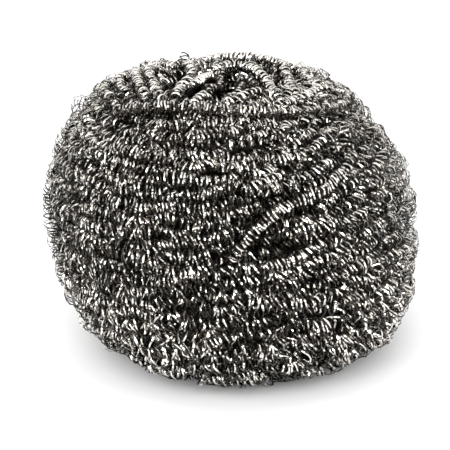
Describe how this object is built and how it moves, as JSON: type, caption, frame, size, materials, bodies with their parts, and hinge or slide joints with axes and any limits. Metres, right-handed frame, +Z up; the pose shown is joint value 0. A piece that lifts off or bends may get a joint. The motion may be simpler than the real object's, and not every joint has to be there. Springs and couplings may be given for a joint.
{
  "type": "stainless steel scourer",
  "caption": "Scouring bun of flat steel wire, coiled into a soft strand and wound round and round, with a gathered hollow in its crown.",
  "frame": {"origin": "middle of the bounding box on the plane the bun rests on", "axes": "+Z up out of the gathered crown, +X across the bun's widest way, -Y towards the side shown in front"},
  "size_m": [0.0912, 0.0854, 0.0719],
  "materials": {
    "coiled_wire": "bright flat stainless wire, drawn and coiled, slightly warm"
  },
  "bodies": {
    "root": {"wound_strand": "coiled_wire"}
  },
  "joints": []
}
